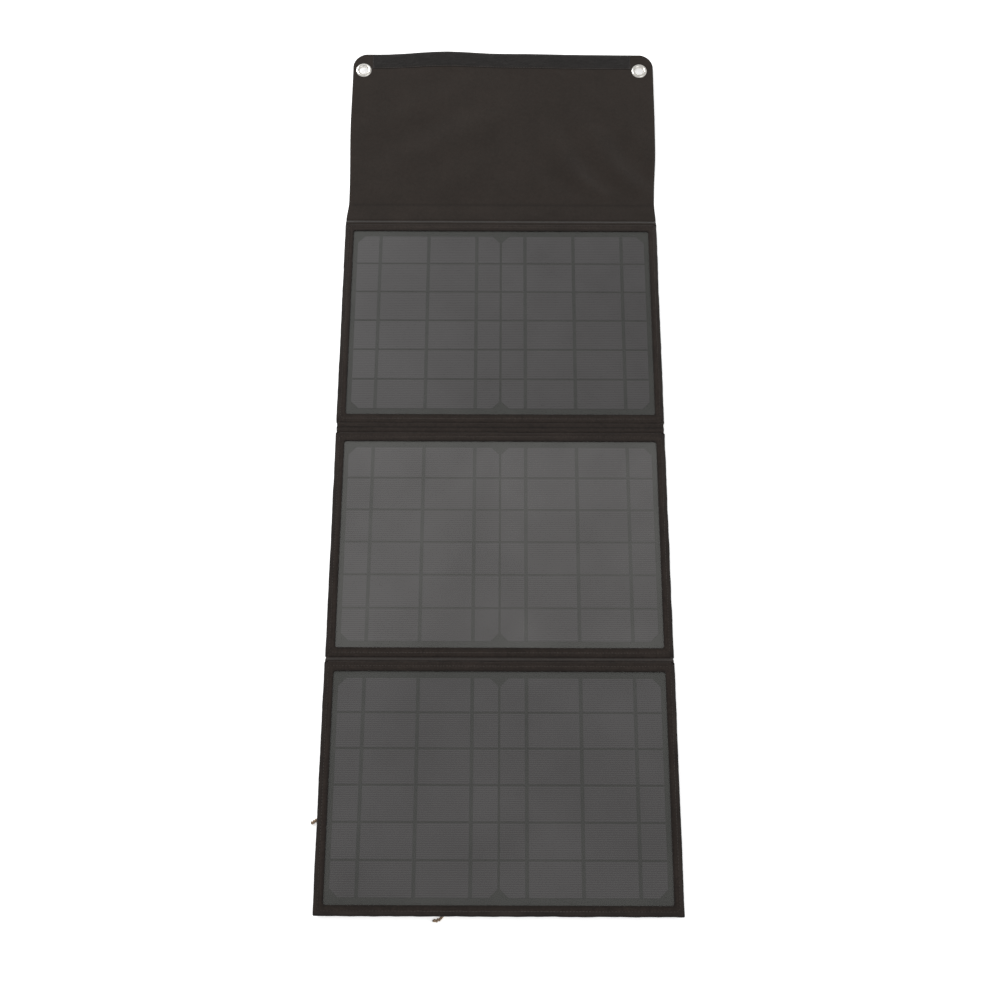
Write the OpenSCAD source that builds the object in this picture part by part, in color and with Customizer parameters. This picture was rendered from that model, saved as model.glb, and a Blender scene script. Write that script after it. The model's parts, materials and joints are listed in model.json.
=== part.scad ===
// Folding cloth solar panel: three stiff panels and a closing flap, lying open on the ground.
// +X runs across the panels, +Y from the bottom panel to the flap, +Z up. The origin is the middle
// of the underside. Folded, the bottom panel goes onto the middle one, the top panel onto both,
// and the flap wraps round the stack and fastens on the middle panel's back.

/* [Panels] */
// Width of the panels, across the hinges
panel_w = 345; // [280:1:420]
// Length of one panel, along the row
panel_l = 241; // [200:1:300]
// Width of the cloth beside the window over a solar sheet
side_margin = 9.5; // [7.5:0.5:16]
// Width of the cloth beyond each end of the window
end_margin = 10; // [7.5:0.5:16]
// Radius of the window's corners
window_r = 2.5; // [1:0.5:8]
// Width of the bound edge round a panel
binding_w = 4; // [3:0.5:4.5]
// How far the back cloth lies inside the bound edge
back_recess = 0.8; // [0.6:0.1:1.5]

/* [Layers] */
// Thickness of one layer of cloth
cloth_t = 0.7; // [0.5:0.1:1]
// Thickness of the stiffening board
board_t = 2.2; // [1.8:0.1:4]
// Thickness of the solar sheet's backing
backsheet_t = 0.4; // [0.3:0.1:0.8]
// Thickness of the solar sheet's clear front, with the cells sunk in it
film_t = 0.7; // [0.5:0.1:1.2]
// How far the solar sheet is tucked under the cloth
tuck = 2.5; // [1.5:0.5:3]

/* [Cells] */
// Clear border between the window's side and the cells
cell_side_gap = 5.125; // [3:0.125:12]
// Clear border between the window's end and the cells
cell_end_gap = 6.75; // [4:0.25:14]
// Gap between two rows of cells
row_gap = 1.9; // [1:0.1:3]
// Gap between the two columns of cells
column_gap = 2.25; // [1:0.25:5]
// Leg of the cut corners on the end cells
cell_chamfer = 8; // [4:0.5:12]
// Width of a busbar ribbon
ribbon_w = 3.6; // [2:0.1:4]

/* [Hinges] */
// Width of the cloth between the middle and bottom panels
crease_w = 5; // [4:0.5:10]
// Thickness of the hinge cloth
hinge_cloth_t = 0.8; // [0.6:0.1:1]
// Air between two folded panels
stack_gap = 0.5; // [0.3:0.1:1]

/* [Flap] */
// Length of the soft hem between the top panel and the flap's first fold
hem_l = 5.5; // [5:0.5:8]
// Slack in the part of the flap that wraps round the folded stack
spine_ease = 1.4; // [1:0.2:4]
// Length of the flap beyond its second fold
cover_l = 196; // [160:1:208]
// Angle at which the open flap springs up
flap_lift = 2.5; // [0:0.5:2.5]
// Radius of the flap's corners
flap_corner_r = 17; // [8:1:18]
// Width of the fastening strip on the flap
hook_w = 18.5; // [12:0.5:22]
// Thickness of the fastening strip on the flap
hook_t = 0.9; // [0.6:0.1:1.2]
// Distance of the fastening strip from the flap's end
hook_edge = 1; // [1:0.5:4]
// Radius of the hole through an eyelet
eyelet_hole_r = 5; // [3:0.1:5.5]
// Outer radius of an eyelet
eyelet_r = 9; // [8:0.1:10]
// Cloth left between an eyelet and the flap's side
eyelet_side_gap = 4.2; // [2:0.1:8]
// Distance of the eyelets' middles from the flap's end
eyelet_inset = 21.5; // [20:0.5:30]

/* [Rear pocket] */
// Depth of the pocket under the bottom panel
pocket_depth = 3.8; // [3.6:0.1:5]
// Distance of the pocket from the bottom panel's edges
pocket_inset = 27; // [26:1:34]
// Distance of the zip's middle from the bottom panel's edges
zip_inset = 14; // [13:0.5:14.5]
// Diameter of the pull cords
cord_d = 2.4; // [1.8:0.1:2.6]

/* [Regulator] */
// Length of the regulator box
box_l = 90; // [80:1:110]
// Width of the regulator box
box_w = 48; // [44:1:60]
// Wall of the regulator box
box_wall = 1; // [0.8:0.1:1.1]

/* [Hidden] */
$fn = 64;

cloth_black = "#332E2B";
trim_black = "#262423";
cell_grey = "#3A3B40";
film_grey = "#55565A";
board_tan = "#B9A27C";
metal_pale = "#C9C6BE";
zinc_dark = "#4A4540";
cord_tan = "#8A6B4B";
circuit_green = "#1F4D33";
lens_green = "#8FD18A";

// Overlap of a cut with the face it starts from
cut = 0.01;

// Layers of a panel, measured from its underside
back_z = back_recess;
board_z = back_z + cloth_t;
sheet_z = board_z + board_t;
cell_z = sheet_z + backsheet_t;
front_z = cell_z + film_t;
panel_t = front_z + cloth_t;
cell_t = 0.2;
ribbon_t = 0.1;

// A panel's cloth, window and cells, seen from above
cloth_w = panel_w - 2 * binding_w;
cloth_l = panel_l - 2 * binding_w;
window_w = panel_w - 2 * side_margin;
window_l = panel_l - 2 * end_margin;
sheet_w = window_w + 2 * tuck;
sheet_l = window_l + 2 * tuck;
rows = 6;
columns = 2;
bars = 3;
cell_w = (window_w - 2 * cell_side_gap - (columns - 1) * column_gap) / columns;
cell_h = (window_l - 2 * cell_end_gap - (rows - 1) * row_gap) / rows;
ribbon_pitch = (cell_w + column_gap) / bars;
binding_r = 3;
binding_step = 0.7;
binding_edge = 0.9;

// Folds: the hinges' lines lie a little inside the cloth, and the flap's on its upper face
fold_gap = 0.8;
fold_inset = fold_gap / 2;
top_gap = stack_gap - 0.1;
strip_w = panel_t + pocket_depth + stack_gap + top_gap + 2 * fold_inset;
folded_h = 2 * panel_t + strip_w - 2 * fold_inset;
hinge_side_gap = 3;
hem_side_gap = 2;
flap_t = 2 * cloth_t;
flap_fold_z = flap_t + 0.2;
spine_l = folded_h - flap_fold_z + spine_ease;

// Places of the parts along the row
flap_row_l = hem_l + spine_l + cover_l * cos(flap_lift);
row_l = 3 * panel_l + crease_w + strip_w + flap_row_l;
bottom_y = -row_l / 2;
middle_y = bottom_y + panel_l + crease_w;
top_y = middle_y + panel_l + strip_w;
hem_y = top_y + panel_l;
spine_y = hem_y + hem_l;
cover_y = spine_y + spine_l;

// Fastening strip and eyelets on the flap
eyelet_x = panel_w / 2 - eyelet_r - eyelet_side_gap;
eyelet_gap = 1.3;
hook_l = 2 * (eyelet_x - eyelet_r - eyelet_gap);
loop_extra = 8;
loop_w = hook_w + loop_extra;
barrel_wall = 0.6;
barrel_r = eyelet_hole_r + barrel_wall;
barrel_fit = 0.1;
washer_t = 0.5;
curl_t = 0.4;
curl_w = 1;
rim_r = 2.3;
rim_drop = 1;

// Regulator box, inside the pocket, let into the bottom panel's board
box_from_side = 10.5;
plug_space = 23;
box_x = -panel_w / 2 + pocket_inset + box_from_side + box_l / 2;
box_y = pocket_inset + plug_space + box_w / 2;
box_bottom = cloth_t + 0.2 - pocket_depth;
box_top = sheet_z - 0.1;
box_r = 4;
box_fit = 0.3;
boss_r = 2.6;
boss_inset = 4.4;
screw_r = 1;
screw_l = 3.9;
screw_hole_r = screw_r + 0.15;
head_r = 1.9;
head_t = 0.6;
head_seat_r = 2;
head_seat = 0.8;
drive_w = 0.4;
drive_l = 2.4;
drive_depth = 0.35;
circuit_z = box_bottom + 2.6;
circuit_t = 1;
circuit_fit = 0.2;
box_split = circuit_z + 0.7;
usb_a = [13.1, 14, 4.2];
usb_c = [8.9, 7.5, 3.2];
tongue_a = 1.6;
tongue_c = 0.7;
usb_a_x = -16;
usb_c_x = 6;
usb_a_z = box_bottom + box_wall + 0.1;
usb_c_z = usb_a_z + (usb_a[2] - usb_c[2]) / 2;
socket_fit = 0.1;
shell_t = 0.3;
lens_x = 22;
lens_z = usb_a_z + usb_a[2] / 2 + 0.1;
lens_r = 1.4;
lens_l = 2.5;
lens_fit = 0.05;

// Junctions and the flat leads that join the panels
lead_w = 6;
lead_t = 0.7;
lead_fit = 0.25;
lead_z = sheet_z - lead_t;
lead_high_z = panel_t - hinge_cloth_t - lead_t;
lead_in_box = 3;
lead_from_box_end = 15;
junction_w = 32;
junction_l = 16;
junction_fit = 0.5;
junction_from_end = 60;
junction_x = box_x + box_l / 2 - lead_from_box_end;
junction_y = panel_l - junction_from_end;

// Rear pocket, its zip and its two sliders
pocket_r = 6;
tape_w = 20;
tape_t = 0.4;
tape_z = back_z - tape_t;
teeth_w = 4;
teeth_t = 1.1;
teeth_z = tape_z - teeth_t;
slider_w = 8;
slider_l = 9;
slider_plate = 0.8;
slider_fit = 0.25;
slider_z = teeth_z - slider_fit - slider_plate;
slider_h = tape_z - 0.15 - slider_z;
bridge_h = 1;
bridge_w = 2.4;
bridge_inset = 1;
side_zip_space = 24;
end_zip_space = 60;
zip_x = zip_inset - panel_w / 2;
side_zip_l = panel_l - side_zip_space - zip_inset;
end_zip_l = panel_w - end_zip_space - zip_inset;
side_slider_y = 118;
end_slider_x = -25;
cord_sides = 8;
// Routes of the pull cords on the ground from their sliders, in steps across and along the zip
side_cord_route = [
    [0, -2, 0], [-0.5, -6, 0], [-1.5, -11, 0], [-3.5, -16, 0],
    [-7, -20.5, 0], [-11, -23.5, 0], [-15, -25.5, 0], [-20, -29, 0]];
end_cord_route = [
    [0, -2, 0], [-0.5, -6, 0], [-1.5, -11, 0], [-3.5, -16, 0], [-7.5, -19, 0],
    [-12, -21.5, 0], [-15.5, -24.5, 0], [-17.2, -28, 0], [-17.5, -32, 0]];

// Places of the three panels; the bottom one stands on its rear pocket
module on_top() { translate([0, top_y, 0]) children(); }
module on_middle() { translate([0, middle_y, 0]) children(); }
module on_bottom() { translate([0, bottom_y, pocket_depth]) children(); }

module plate(w, l, h, z) { translate([-w / 2, 0, z]) cube([w, l, h]); }

module rounded(w, l, r) {
    union() {
        square([w - 2 * r, l], center = true);
        square([w, l - 2 * r], center = true);
        for (x = [r - w / 2, w / 2 - r], y = [r - l / 2, l / 2 - r]) translate([x, y]) circle(r = r);
    }
}

// A flat plate with rounded corners in the middle of a panel
module middle_plate(w, l, r, h, z) {
    translate([0, panel_l / 2, z]) linear_extrude(h) rounded(w, l, r);
}

// A lead's run along a panel in its board, and its rise through the bound edge
module lead_run(from_y, to_y, fit) {
    translate([junction_x - lead_w / 2 - fit, from_y, lead_z - fit])
        cube([lead_w + 2 * fit, to_y - from_y, lead_t + fit]);
}

module lead_riser(y, fit, ends) {
    translate([junction_x - lead_w / 2 - fit, y - ends, lead_z - fit])
        cube([lead_w + 2 * fit, binding_w + 2 * ends, lead_high_z + lead_t - lead_z + 2 * fit]);
}

// The parts of one panel, each from its lower edge upwards
module binding(lead_low, lead_high) {
    color(trim_black) difference() {
        union() {
            middle_plate(panel_w, panel_l, binding_r, panel_t - 2 * binding_edge, binding_edge);
            middle_plate(panel_w - 2 * binding_step, panel_l - 2 * binding_step,
                binding_r - binding_step + 0.1, panel_t, 0);
        }
        translate([0, binding_w, 0]) plate(cloth_w, cloth_l, panel_t + 2 * cut, -cut);
        if (lead_low) lead_riser(0, lead_fit, cut);
        if (lead_high) lead_riser(panel_l - binding_w, lead_fit, cut);
    }
}

module front_cloth() {
    color(cloth_black) difference() {
        translate([0, binding_w, 0]) plate(cloth_w, cloth_l, cloth_t, front_z);
        middle_plate(window_w, window_l, window_r, cloth_t + 2 * cut, front_z - cut);
    }
}

module back_cloth(with_box) {
    color(cloth_black) difference() {
        translate([0, binding_w, 0]) plate(cloth_w, cloth_l, cloth_t, back_z);
        if (with_box) box_space();
    }
}

module board(lead_low, lead_high, with_box) {
    color(board_tan) difference() {
        translate([0, binding_w, 0]) plate(cloth_w, cloth_l, board_t, board_z);
        translate([junction_x, junction_y, 0]) plate(junction_w + 2 * junction_fit,
            junction_l + 2 * junction_fit, board_t + 2 * cut, board_z - cut);
        if (lead_low) translate([0, 0, cut]) lead_run(0, junction_y + 1, lead_fit);
        if (lead_high) translate([0, 0, cut]) lead_run(junction_y, panel_l, lead_fit);
        if (with_box) box_space();
    }
}

module backsheet() { color("white") middle_plate(sheet_w, sheet_l, window_r, backsheet_t, sheet_z); }

function cell_x(column) = (column - (columns - 1) / 2) * (cell_w + column_gap);
function cell_y(row) = panel_l / 2 + (row - (rows - 1) / 2) * (cell_h + row_gap);

// One cut cell: the two end rows have their outer corners cut off
module cell(row, h) {
    x = cell_w / 2;
    y = cell_h / 2;
    low = row == 0 ? cell_chamfer : cut;
    high = row == rows - 1 ? cell_chamfer : cut;
    linear_extrude(h) polygon([
        [low - x, -y], [x - low, -y], [x, low - y], [x, y - high],
        [x - high, y], [high - x, y], [-x, y - high], [-x, low - y]]);
}

module cells() {
    color(cell_grey) for (row = [0 : rows - 1], column = [0 : columns - 1])
        translate([cell_x(column), cell_y(row), cell_z]) cell(row, cell_t);
}

module ribbons() {
    l = window_l - 2 * cell_end_gap;
    color(trim_black) for (column = [0 : columns - 1], bar = [0 : bars - 1])
        translate([cell_x(column) + (bar - (bars - 1) / 2) * ribbon_pitch, end_margin + cell_end_gap, 0])
            plate(ribbon_w, l, ribbon_t, cell_z + cell_t);
}

module film() {
    color(film_grey) difference() {
        middle_plate(sheet_w, sheet_l, window_r, film_t, cell_z);
        cells();
        translate([0, 0, -cut]) cells();
        ribbons();
    }
}

module junction() {
    color(trim_black) difference() {
        translate([junction_x, junction_y + junction_fit, 0])
            plate(junction_w, junction_l, board_t - 0.1, board_z + 0.1);
        lead_run(junction_y - 1, junction_y + 3, lead_fit);
        lead_run(junction_y + junction_l - 2, junction_y + junction_l + 2, lead_fit);
    }
}

// Leads: flat cable in a groove of the board, rising to the underside of the hinge cloth
module lead_down(reach) {
    color(trim_black) union() {
        lead_run(binding_w, junction_y + 2, 0);
        lead_riser(0, 0, 0);
        translate([junction_x, -reach, 0]) plate(lead_w, reach + cut, lead_t, lead_high_z);
    }
}

module lead_up(reach) {
    color(trim_black) union() {
        lead_run(junction_y + junction_l - 1, panel_l - binding_w, 0);
        lead_riser(panel_l - binding_w, 0, 0);
        translate([junction_x, panel_l - cut, 0]) plate(lead_w, reach + cut, lead_t, lead_high_z);
    }
}

module strip_lead() {
    color(trim_black) translate([junction_x, middle_y + panel_l + fold_gap, 0])
        plate(lead_w, strip_w - 2 * fold_gap, lead_t - 0.1, lead_high_z);
}

module top_lead() { on_top() lead_down(0); }

module middle_lead() {
    on_middle() union() {
        lead_down(crease_w / 2 - fold_inset);
        lead_up(fold_inset);
    }
}

module bottom_lead() {
    color(trim_black) on_bottom() union() {
        lead_up(crease_w / 2 - fold_inset);
        lead_run(box_y + box_w / 2 - lead_in_box, junction_y + 2, 0);
    }
}

// Hinge cloths
module hinge_strip() {
    color(cloth_black) translate([0, middle_y + panel_l + fold_gap, 0])
        plate(panel_w - 2 * hinge_side_gap, strip_w - 2 * fold_gap, hinge_cloth_t,
            panel_t - hinge_cloth_t);
}

module crease_half() {
    color(cloth_black) plate(panel_w - 2 * hinge_side_gap, (crease_w - fold_inset) / 2,
        hinge_cloth_t, panel_t - hinge_cloth_t);
}

// Flap: a hem on the top panel, the spine that wraps the stack, and the cover
module flap_hem() {
    color(cloth_black) translate([0, hem_y, 0])
        plate(panel_w - 2 * hem_side_gap, hem_l - fold_inset, flap_t, 0);
}

module flap_spine() {
    color(cloth_black) translate([0, spine_y + fold_inset, 0])
        plate(panel_w - 2 * hem_side_gap, spine_l - fold_gap, flap_t, 0);
}

module on_cover() {
    translate([0, cover_y, flap_fold_z]) rotate([flap_lift, 0, 0]) translate([0, 0, -flap_fold_z])
        children();
}

module cover_outline() {
    r = flap_corner_r;
    w = panel_w;
    union() {
        translate([-w / 2, fold_inset]) square([w, cover_l - fold_inset - r]);
        translate([r - w / 2, fold_inset]) square([w - 2 * r, cover_l - fold_inset]);
        for (x = [r - w / 2, w / 2 - r]) translate([x, cover_l - r]) circle(r = r);
    }
}

module eyelet_places() {
    for (x = [-eyelet_x, eyelet_x]) translate([x, cover_l - eyelet_inset, 0]) children();
}

module cover_layer(z) {
    color(cloth_black) on_cover() difference() {
        translate([0, 0, z]) linear_extrude(cloth_t) cover_outline();
        eyelet_places() translate([0, 0, -cut])
            cylinder(r = barrel_r + barrel_fit, h = flap_t + 2 * cut);
    }
}

// An eyelet's barrel with its domed rim above the cloth and its curled lip below the washer
module eyelet_barrels() {
    low = -washer_t - curl_t;
    color(metal_pale) on_cover() eyelet_places() difference() {
        union() {
            translate([0, 0, flap_t]) rotate_extrude() intersection() {
                translate([(eyelet_hole_r + eyelet_r) / 2, -rim_drop]) circle(r = rim_r);
                translate([eyelet_hole_r, 0]) square([eyelet_r - eyelet_hole_r, rim_r]);
            }
            translate([0, 0, low]) cylinder(r = barrel_r, h = flap_t - low);
            translate([0, 0, low]) cylinder(r = barrel_r + curl_w, h = curl_t);
        }
        translate([0, 0, low - 1]) cylinder(r = eyelet_hole_r, h = flap_t - low + rim_r + 1);
    }
}

module eyelet_washers() {
    color(metal_pale) on_cover() eyelet_places() translate([0, 0, -washer_t]) difference() {
        cylinder(r = eyelet_r, h = washer_t);
        translate([0, 0, -cut]) cylinder(r = barrel_r + barrel_fit, h = washer_t + 2 * cut);
    }
}

module hook_strip() {
    color(trim_black) on_cover() translate([0, cover_l - hook_edge - hook_w, 0])
        plate(hook_l, hook_w, hook_t, flap_t);
}

// The strip on the middle panel's back that the flap's strip meets when the panel is folded
module loop_strip() {
    reach = cover_l - hook_edge - hook_w / 2 - hem_l;
    color(trim_black) translate([0, middle_y + reach - loop_w / 2, 0])
        plate(hook_l + loop_extra, loop_w, back_recess, 0);
}

// Rear pocket: a shallow tray of cloth sewn to the back, open towards the panel
module pocket_cloth() {
    w = panel_w - 2 * pocket_inset;
    l = panel_l - 2 * pocket_inset;
    h = pocket_depth + back_z;
    color(cloth_black) on_bottom() difference() {
        middle_plate(w, l, pocket_r, h, -pocket_depth);
        middle_plate(w - 2 * cloth_t, l - 2 * cloth_t, pocket_r - cloth_t, h, cloth_t - pocket_depth);
    }
}

// The zip turns the corner of the pocket, along the bottom panel's side and its end
module zip_path(w, h, z) {
    translate([zip_x - w / 2, zip_inset - w / 2, z]) union() {
        cube([w, side_zip_l + w / 2, h]);
        cube([end_zip_l + w / 2, w, h]);
    }
}

module zip_tape() { color(trim_black) on_bottom() zip_path(tape_w, tape_t, tape_z); }
module zip_teeth() { color(trim_black) on_bottom() zip_path(teeth_w, teeth_t, teeth_z); }

// A slider whose channel holds the teeth, with a bridge for its cord
module slider() {
    channel_w = teeth_w + 2 * slider_fit;
    color(zinc_dark) difference() {
        union() {
            translate([-slider_w / 2, -slider_l / 2, slider_z]) cube([slider_w, slider_l, slider_h]);
            translate([-bridge_w / 2, bridge_inset - slider_l / 2, slider_z - bridge_h])
                cube([bridge_w, slider_l - 2 * bridge_inset, bridge_h + cut]);
        }
        translate([-channel_w / 2, -slider_l / 2 - cut, slider_z + slider_plate])
            cube([channel_w, slider_l + 2 * cut, slider_h]);
    }
}

module side_slider() { on_bottom() translate([zip_x, side_slider_y, 0]) slider(); }

module end_slider() {
    on_bottom() translate([end_slider_x, zip_inset, 0]) rotate([0, 0, 90]) slider();
}

// A tube along a route: rings of points across each step, joined side to side
function unit(v) = v / norm(v);
function heading(p, i) = unit(p[min(i + 1, len(p) - 1)] - p[max(i - 1, 0)]);
function ring(p, i, r) = [for (k = [0 : cord_sides - 1])
    let (a = (k + 0.5) * 360 / cord_sides, t = heading(p, i), side = [t[1], -t[0], 0])
    p[i] + side * r * cos(a) + [0, 0, r * sin(a)]];

module tube(p, r) {
    n = cord_sides;
    last = (len(p) - 1) * n;
    polyhedron(
        points = [for (i = [0 : len(p) - 1]) each ring(p, i, r)],
        faces = concat(
            [[for (k = [0 : n - 1]) k]],
            [[for (k = [n - 1 : -1 : 0]) last + k]],
            [for (i = [0 : len(p) - 2], k = [0 : n - 1])
                let (a = i * n, b = a + n, j = (k + 1) % n) [a + k, b + k, b + j, a + j]]));
}

module pull_cord(route) { color(cord_tan) tube(route, cord_d / 2); }

module side_pull_cord() {
    translate([zip_x, bottom_y + side_slider_y - slider_l / 2, cord_d / 2])
        pull_cord(side_cord_route);
}

module end_pull_cord() {
    translate([end_slider_x - slider_l / 2, bottom_y + zip_inset, cord_d / 2]) mirror([1, -1, 0])
        pull_cord(end_cord_route);
}

// Regulator box
module box_slab(low, high, inset) {
    translate([box_x, box_y, low]) linear_extrude(high - low)
        rounded(box_l - 2 * inset, box_w - 2 * inset, box_r - inset);
}

module box_space() {
    translate([box_x - box_l / 2 - box_fit, box_y - box_w / 2 - box_fit, back_z - cut])
        cube([box_l + 2 * box_fit, box_w + 2 * box_fit, sheet_z - back_z + 2 * cut]);
}

module boss_places() {
    for (x = [-1, 1], y = [-1, 1])
        translate([box_x + x * (box_l / 2 - boss_inset), box_y + y * (box_w / 2 - boss_inset), 0])
            children();
}

// A place in the box's end wall, the one that faces the bottom panel's lower edge
module on_wall(x, z) { translate([box_x + x, box_y - box_w / 2, z]) children(); }

module socket_hole(x, size, z) {
    on_wall(x - size[0] / 2 - socket_fit, z - socket_fit) translate([0, -1, 0])
        cube([size[0] + 2 * socket_fit, box_wall + 2, size[2] + 2 * socket_fit]);
}

module lens_shape(fit, l, back) {
    on_wall(lens_x, lens_z) rotate([-90, 0, 0]) translate([0, 0, -back])
        cylinder(r = lens_r + fit, h = l + back);
}

module wall_holes() {
    socket_hole(usb_a_x, usb_a, usb_a_z);
    socket_hole(usb_c_x, usb_c, usb_c_z);
    lens_shape(lens_fit, lens_l + 1, 1);
}

module regulator_base() {
    color(trim_black) on_bottom() difference() {
        union() {
            difference() {
                box_slab(box_bottom, box_split, 0);
                box_slab(box_bottom + box_wall, box_split + 1, box_wall);
            }
            boss_places() translate([0, 0, box_bottom]) cylinder(r = boss_r, h = circuit_z - box_bottom);
        }
        boss_places() translate([0, 0, box_bottom - 1]) cylinder(r = screw_hole_r, h = screw_l + 1);
        boss_places() translate([0, 0, box_bottom - cut]) cylinder(r = head_seat_r, h = head_seat);
        wall_holes();
    }
}

module regulator_lid() {
    low = circuit_z + circuit_t;
    color(trim_black) on_bottom() difference() {
        union() {
            difference() {
                box_slab(box_split, box_top, 0);
                box_slab(box_split - 1, box_top - box_wall, box_wall);
            }
            boss_places() translate([0, 0, low]) cylinder(r = boss_r, h = box_top - 0.5 - low);
        }
        boss_places() translate([0, 0, circuit_z]) cylinder(r = screw_r, h = screw_l - 0.9);
        wall_holes();
        lead_run(box_y + box_w / 2 - lead_in_box - lead_fit, box_y + box_w / 2 + 1, lead_fit);
    }
}

module circuit_board() {
    color(circuit_green) on_bottom() difference() {
        box_slab(circuit_z, circuit_z + circuit_t, box_wall + circuit_fit);
        boss_places() translate([0, 0, circuit_z - 1]) cylinder(r = screw_hole_r, h = circuit_t + 2);
        on_wall(usb_a_x - usb_a[0] / 2 - socket_fit, circuit_z - 1)
            cube([usb_a[0] + 2 * socket_fit, usb_a[1] + socket_fit, circuit_t + 2]);
        on_wall(usb_c_x - usb_c[0] / 2 - socket_fit, circuit_z - 1)
            cube([usb_c[0] + 2 * socket_fit, usb_c[1] + socket_fit, circuit_t + 2]);
        lens_shape(circuit_fit, lens_l + 1, 1);
    }
}

module regulator_screws() {
    color(metal_pale) on_bottom() boss_places() translate([0, 0, box_bottom + 0.1]) union() {
        difference() {
            cylinder(r = head_r, h = head_t);
            for (a = [0, 90]) rotate([0, 0, a]) translate([-drive_l / 2, -drive_w / 2, -cut])
                cube([drive_l, drive_w, drive_depth]);
        }
        translate([0, 0, head_t]) cylinder(r = screw_r, h = screw_l);
    }
}

// A socket's shell with its tongue, set flush in the box's end wall
module socket(x, size, z, tongue) {
    side = shell_t + 0.6;
    color(metal_pale) on_bottom() on_wall(x - size[0] / 2, z) union() {
        difference() {
            cube(size);
            translate([shell_t, -cut, shell_t])
                cube([size[0] - 2 * shell_t, size[1] - shell_t, size[2] - 2 * shell_t]);
        }
        translate([side, 1, (size[2] - tongue) / 2])
            cube([size[0] - 2 * side, size[1] - 1.2, tongue]);
    }
}

module usb_a_socket() { socket(usb_a_x, usb_a, usb_a_z, tongue_a); }
module usb_c_socket() { socket(usb_c_x, usb_c, usb_c_z, tongue_c); }
module status_lens() { color(lens_green) on_bottom() lens_shape(0, lens_l, 0); }

on_top() binding(true, false);  // top_binding
on_top() front_cloth();  // top_front_cloth
on_top() back_cloth(false);  // top_back_cloth
on_top() board(true, false, false);  // top_board
on_top() backsheet();  // top_backsheet
on_top() cells();  // top_cells
on_top() ribbons();  // top_ribbons
on_top() film();  // top_film
on_top() junction();  // top_junction
on_middle() binding(true, true);  // middle_binding
on_middle() front_cloth();  // middle_front_cloth
on_middle() back_cloth(false);  // middle_back_cloth
on_middle() board(true, true, false);  // middle_board
on_middle() backsheet();  // middle_backsheet
on_middle() cells();  // middle_cells
on_middle() ribbons();  // middle_ribbons
on_middle() film();  // middle_film
on_middle() junction();  // middle_junction
on_bottom() binding(false, true);  // bottom_binding
on_bottom() front_cloth();  // bottom_front_cloth
on_bottom() back_cloth(true);  // bottom_back_cloth
on_bottom() board(true, true, true);  // bottom_board
on_bottom() backsheet();  // bottom_backsheet
on_bottom() cells();  // bottom_cells
on_bottom() ribbons();  // bottom_ribbons
on_bottom() film();  // bottom_film
on_bottom() junction();  // bottom_junction
hinge_strip();
on_middle() mirror([0, 1, 0]) crease_half();  // crease_middle
on_bottom() translate([0, panel_l, 0]) crease_half();  // crease_bottom
top_lead();
strip_lead();
middle_lead();
bottom_lead();
flap_hem();
flap_spine();
cover_layer(cloth_t);  // flap_front_cloth
cover_layer(0);  // flap_back_cloth
hook_strip();
loop_strip();
eyelet_barrels();
eyelet_washers();
pocket_cloth();
zip_tape();
zip_teeth();
side_slider();
end_slider();
side_pull_cord();
end_pull_cord();
regulator_base();
regulator_lid();
regulator_screws();
circuit_board();
usb_a_socket();
usb_c_socket();
status_lens();
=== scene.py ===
import json
from math import atan2, cos, pi, radians, sin, sqrt
import bpy
import numpy as np
from mathutils import Matrix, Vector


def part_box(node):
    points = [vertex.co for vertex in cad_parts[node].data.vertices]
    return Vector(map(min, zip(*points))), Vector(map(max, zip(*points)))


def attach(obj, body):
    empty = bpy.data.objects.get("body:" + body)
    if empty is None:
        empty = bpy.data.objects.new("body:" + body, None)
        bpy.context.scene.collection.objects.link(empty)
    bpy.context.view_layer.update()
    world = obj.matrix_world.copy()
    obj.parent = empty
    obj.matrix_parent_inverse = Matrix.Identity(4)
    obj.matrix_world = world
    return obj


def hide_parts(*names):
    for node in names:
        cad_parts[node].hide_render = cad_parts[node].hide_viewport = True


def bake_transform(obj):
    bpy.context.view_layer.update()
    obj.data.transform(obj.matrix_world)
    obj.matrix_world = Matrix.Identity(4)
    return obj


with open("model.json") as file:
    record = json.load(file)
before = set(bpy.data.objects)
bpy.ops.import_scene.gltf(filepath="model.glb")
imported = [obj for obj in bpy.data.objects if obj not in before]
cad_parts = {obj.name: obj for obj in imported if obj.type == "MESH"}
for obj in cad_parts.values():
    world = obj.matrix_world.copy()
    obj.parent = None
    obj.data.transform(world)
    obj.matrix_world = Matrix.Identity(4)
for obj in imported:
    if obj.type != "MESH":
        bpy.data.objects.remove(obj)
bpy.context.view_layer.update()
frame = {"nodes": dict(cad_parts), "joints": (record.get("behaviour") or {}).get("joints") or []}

# Lengths are in millimetres until a mesh is made from them; in the looks they are in metres
MM = 0.001
PANELS = ("bottom", "middle", "top")
FILM_TUCK = 2.5  # how far the laminate reaches under the cloth round the window
SEAM_OUT = 5.3  # from the window's edge to the row of stitches round it
HINGE_TUCK = 0.8  # how far the hinge cloth reaches under a panel's end
CREASE_IN = 2.0  # how far the flap's hem covers the top panel's end
FLAP_T = 1.42  # the flap's cloth, hem and all
FLAP_LIFT = radians(2.5)  # the flap's slope up from its outer fold to its free end
FLAP_CORNER_R = 17.0
FOLD_Z = 1.6  # the height of the flap's folds
HOOK_EDGE = 1.0  # from the fastening tape to the flap's end


# ---- measures
def box(node):
    low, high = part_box(node)
    return np.array(low) / MM, np.array(high) / MM


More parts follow.
